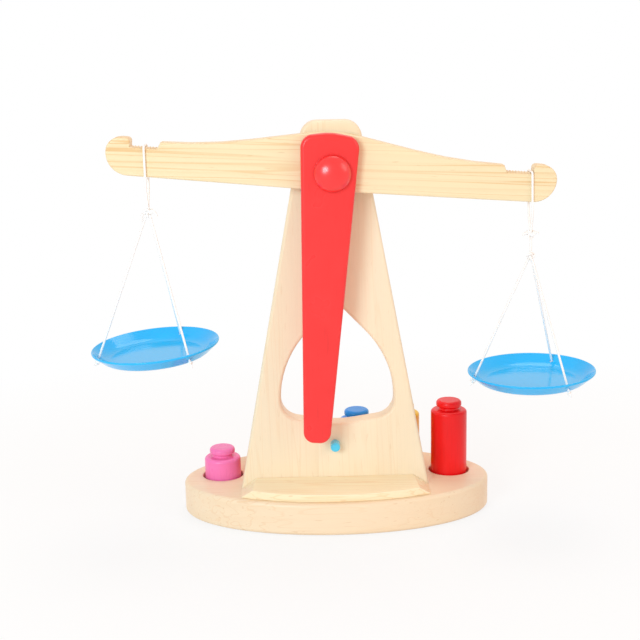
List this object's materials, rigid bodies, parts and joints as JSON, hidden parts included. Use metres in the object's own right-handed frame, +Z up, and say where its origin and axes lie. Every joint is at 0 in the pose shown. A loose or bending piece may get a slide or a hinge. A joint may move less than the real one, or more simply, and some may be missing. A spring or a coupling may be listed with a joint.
{
  "type": "wooden balance scale toy",
  "caption": "Toy balance scale: oval wooden base with a row of turned weights, windowed upright, tilting bow-shaped beam with red pointer and two blue pans on cords.",
  "frame": {"origin": "centre of the base's flat underside", "axes": "+X along the beam to the viewer's right, +Y from the pointer's side to the back, +Z up"},
  "size_m": [0.3911, 0.1558, 0.318],
  "materials": {
    "pale_wood": "clear satin lacquer on pale rubberwood",
    "red_lacquer": "red gloss lacquer on wood",
    "blue_paint": "blue gloss paint on a wooden peg",
    "pan_plastic": "glossy sky-blue moulded plastic",
    "cotton": "white twisted cotton cord",
    "screw_steel": "zinc-plated steel",
    "paint_pink": "pink gloss paint on turned wood",
    "paint_orange": "orange gloss paint on turned wood",
    "paint_green": "green gloss paint on turned wood",
    "paint_blue": "blue gloss paint on turned wood",
    "paint_yellow": "yellow gloss paint on turned wood",
    "paint_red": "red gloss paint on turned wood"
  },
  "bodies": {
    "stand": {"base": "pale_wood", "upright": "pale_wood", "front_batten": "pale_wood", "base_screws": "screw_steel", "index_peg": "blue_paint", "pivot_peg": "red_lacquer", "spacer_washer": "pale_wood"},
    "beam": {"beam": "pale_wood", "pointer": "red_lacquer", "pointer_dowels": "pale_wood"},
    "left_loop": {"left_loop": "cotton"},
    "left_pan": {"left_gather_knot": "cotton", "left_cord_side": "cotton", "left_cord_front": "cotton", "left_cord_back": "cotton", "left_pan": "pan_plastic", "left_pan_knots": "cotton"},
    "right_loop": {"right_loop": "cotton", "right_loop_knot": "cotton", "right_link": "cotton"},
    "right_pan": {"right_gather_knot": "cotton", "right_cord_side": "cotton", "right_cord_front": "cotton", "right_cord_back": "cotton", "right_pan": "pan_plastic", "right_pan_knots": "cotton"},
    "weight_pink": {"weight_pink": "paint_pink"},
    "weight_orange": {"weight_orange": "paint_orange"},
    "weight_green": {"weight_green": "paint_green"},
    "weight_blue": {"weight_blue": "paint_blue"},
    "weight_yellow": {"weight_yellow": "paint_yellow"},
    "weight_red": {"weight_red": "paint_red"}
  },
  "joints": [
    {"name": "beam_turn", "type": "hinge", "parent": "stand", "child": "beam", "pos_m": [0, 0, 0.281], "axis": [0, 1, 0], "range_deg": [-15, 5]},
    {"name": "left_hang", "type": "hinge", "parent": "beam", "child": "left_loop", "pos_m": [-0.13917, -0.0383, 0.30296], "axis": [0, 1, 0], "range_deg": [-5, 15]},
    {"name": "right_hang", "type": "hinge", "parent": "beam", "child": "right_loop", "pos_m": [0.14976, -0.0383, 0.27768], "axis": [0, 1, 0], "range_deg": [-5, 15]},
    {"name": "left_sway", "type": "hinge", "parent": "left_loop", "child": "left_pan", "pos_m": [-0.13917, -0.0383, 0.25296], "axis": [1, 0, 0], "range_deg": [-5, 5]},
    {"name": "right_sway", "type": "hinge", "parent": "right_loop", "child": "right_pan", "pos_m": [0.15118, -0.0383, 0.21269], "axis": [1, 0, 0], "range_deg": [-5, 5]},
    {"name": "lift_pink", "type": "slide", "parent": "stand", "child": "weight_pink", "axis": [0, 0, 1], "range_m": [0, 0.009]},
    {"name": "lift_orange", "type": "slide", "parent": "stand", "child": "weight_orange", "axis": [0, 0, 1], "range_m": [0, 0.009]},
    {"name": "lift_green", "type": "slide", "parent": "stand", "child": "weight_green", "axis": [0, 0, 1], "range_m": [0, 0.009]},
    {"name": "lift_blue", "type": "slide", "parent": "stand", "child": "weight_blue", "axis": [0, 0, 1], "range_m": [0, 0.009]},
    {"name": "lift_yellow", "type": "slide", "parent": "stand", "child": "weight_yellow", "axis": [0, 0, 1], "range_m": [0, 0.009]},
    {"name": "lift_red", "type": "slide", "parent": "stand", "child": "weight_red", "axis": [0, 0, 1], "range_m": [0, 0.009]}
  ],
  "couplings": [
    {"joint": "left_hang", "follows": "beam_turn", "ratio": -1},
    {"joint": "right_hang", "follows": "beam_turn", "ratio": -1}
  ]
}
